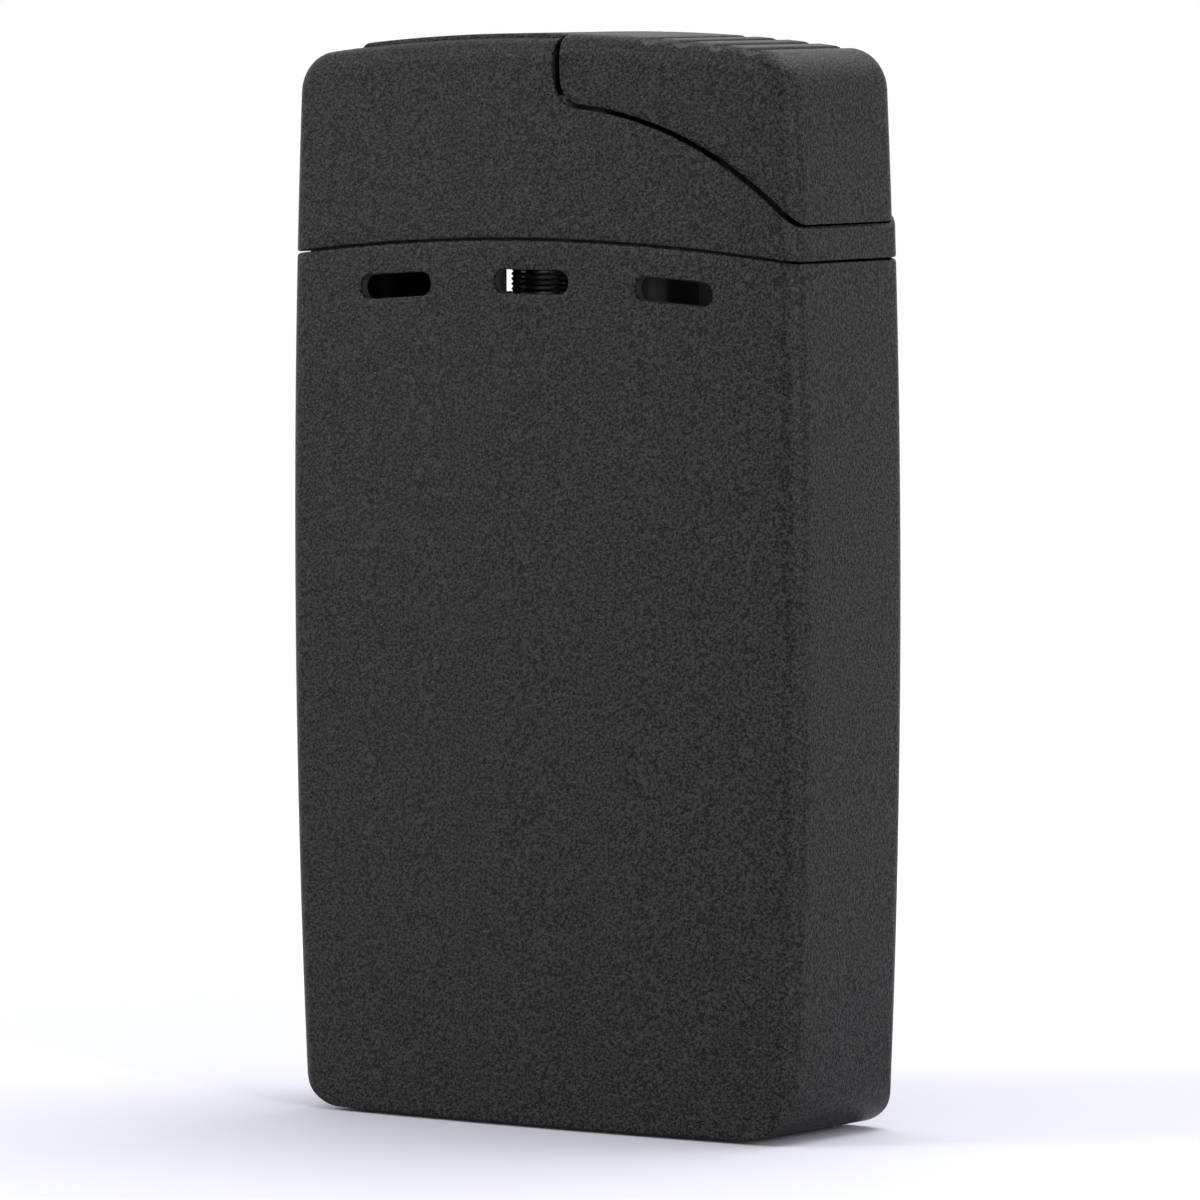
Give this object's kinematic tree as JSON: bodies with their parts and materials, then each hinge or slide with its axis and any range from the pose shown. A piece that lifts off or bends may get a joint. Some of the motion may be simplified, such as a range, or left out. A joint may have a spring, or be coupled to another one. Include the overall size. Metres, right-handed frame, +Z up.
{
  "type": "pocket lighter",
  "caption": "Slim pocket torch lighter with a crowned metal body, arched cap line, vent slots, a pivoting thumb trigger, a flame lid, a piezo igniter and a refillable gas tank.",
  "frame": {"origin": "centre of the base at table level", "axes": "X across the broad face with the trigger at +X, Y through the thickness with the front at -Y, Z up"},
  "size_m": [0.038, 0.013, 0.066],
  "materials": {
    "case_shell": "black wrinkle powder coat over thin sheet",
    "case_liner": "matte black",
    "cap_shell": "black wrinkle powder coat over thin sheet",
    "flame_guard": "matte black, heat resistant",
    "chassis": "matte black stamped sheet",
    "chassis_screws": "plain",
    "trigger_pin": "polished",
    "lid_hinge_pin": "polished",
    "link_spring": "spring wire",
    "burner_tube": "machined, nickel tinted",
    "burner_head": "heat tinted",
    "burner_nut": "machined",
    "valve_body": "machined",
    "valve_spring": "spring wire",
    "valve_lever_pin": "polished",
    "gas_tube": "drawn tube",
    "piezo_housing": "moulded",
    "piezo_spring": "spring wire",
    "piezo_hammer": "hardened",
    "piezo_crystal": "fired",
    "piezo_lead": "insulated wire",
    "electrode": "wire",
    "electrode_insulator": "glazed",
    "fuel_tank": "moulded, smoke grey",
    "tank_cover": "moulded, welded on",
    "fill_valve_body": "machined",
    "fill_valve_spring": "spring wire",
    "regulator_body": "machined",
    "adjuster_seal": "matte",
    "base_plate": "moulded",
    "base_screws": "blackened",
    "trigger": "black wrinkle powder coat",
    "flame_lid": "black wrinkle powder coat",
    "link_plate": "stamped, dark",
    "piezo_plunger": "moulded",
    "valve_lever": "stamped",
    "valve_stem": "machined",
    "valve_seal": "matte",
    "fill_valve_stem": "machined",
    "fill_valve_seal": "matte",
    "flame_adjuster": "machined"
  },
  "bodies": {
    "body": {"case_shell": "case_shell", "case_liner": "case_liner", "cap_shell": "cap_shell", "flame_guard": "flame_guard", "chassis": "chassis", "chassis_screws": "chassis_screws", "trigger_pin": "trigger_pin", "lid_hinge_pin": "lid_hinge_pin", "link_spring": "link_spring", "burner_tube": "burner_tube", "burner_head": "burner_head", "burner_nut": "burner_nut", "valve_body": "valve_body", "valve_spring": "valve_spring", "valve_lever_pin": "valve_lever_pin", "gas_tube": "gas_tube", "piezo_housing": "piezo_housing", "piezo_spring": "piezo_spring", "piezo_hammer": "piezo_hammer", "piezo_crystal": "piezo_crystal", "piezo_lead": "piezo_lead", "electrode": "electrode", "electrode_insulator": "electrode_insulator", "fuel_tank": "fuel_tank", "tank_cover": "tank_cover", "fill_valve_body": "fill_valve_body", "fill_valve_spring": "fill_valve_spring", "regulator_body": "regulator_body", "adjuster_seal": "adjuster_seal", "base_plate": "base_plate", "base_screws": "base_screws"},
    "thumb_trigger": {"trigger": "trigger"},
    "lid": {"flame_lid": "flame_lid"},
    "link": {"link_plate": "link_plate"},
    "plunger": {"piezo_plunger": "piezo_plunger"},
    "rocker": {"valve_lever": "valve_lever"},
    "gas_stem": {"valve_stem": "valve_stem", "valve_seal": "valve_seal"},
    "fill_stem": {"fill_valve_stem": "fill_valve_stem", "fill_valve_seal": "fill_valve_seal"},
    "adjuster": {"flame_adjuster": "flame_adjuster"}
  },
  "joints": [
    {"name": "trigger_press", "type": "hinge", "parent": "body", "child": "thumb_trigger", "pos_m": [0.0035, 0, 0.0633], "axis": [0, 1, 0], "range_deg": [0, 15], "stiffness_Nm_per_rad": 0.05, "springref_deg": -5.73},
    {"name": "lid_open", "type": "hinge", "parent": "body", "child": "lid", "pos_m": [-0.0131, 0, 0.06453], "axis": [0, -1, 0], "range_deg": [0, 65.5]},
    {"name": "link_drop", "type": "slide", "parent": "body", "child": "link", "axis": [0, 0, -1], "range_m": [0, 0.00123], "deforming": ["link_spring"]},
    {"name": "plunger_stroke", "type": "slide", "parent": "body", "child": "plunger", "axis": [0, 0, -1], "range_m": [0, 0.0022], "deforming": ["piezo_spring"]},
    {"name": "rocker_tilt", "type": "hinge", "parent": "body", "child": "rocker", "pos_m": [-0.0009, 0, 0.0479], "axis": [0, 1, 0], "range_deg": [0, 9.2]},
    {"name": "valve_lift", "type": "slide", "parent": "body", "child": "gas_stem", "axis": [0, 0, 1], "range_m": [0, 0.00036], "deforming": ["valve_spring"]},
    {"name": "fill_stem_press", "type": "slide", "parent": "body", "child": "fill_stem", "axis": [0, 0, 1], "range_m": [0, 0.001], "stiffness_N_per_m": 500, "springref_m": -0.001, "deforming": ["fill_valve_spring"]},
    {"name": "flame_adjust", "type": "hinge", "parent": "body", "child": "adjuster", "pos_m": [-0.0031, 0, 0.0013], "axis": [0, 0, 1], "range_deg": [-120, 120]}
  ],
  "couplings": [
    {"joint": "lid_open", "follows": "trigger_press", "ratio": 4.3333},
    {"joint": "link_drop", "follows": "trigger_press", "m_per_rad": 0.004649},
    {"joint": "plunger_stroke", "follows": "trigger_press", "m_per_rad": 0.008231},
    {"joint": "rocker_tilt", "follows": "trigger_press", "ratio": 0.6063},
    {"joint": "valve_lift", "follows": "trigger_press", "m_per_rad": 0.001329}
  ]
}
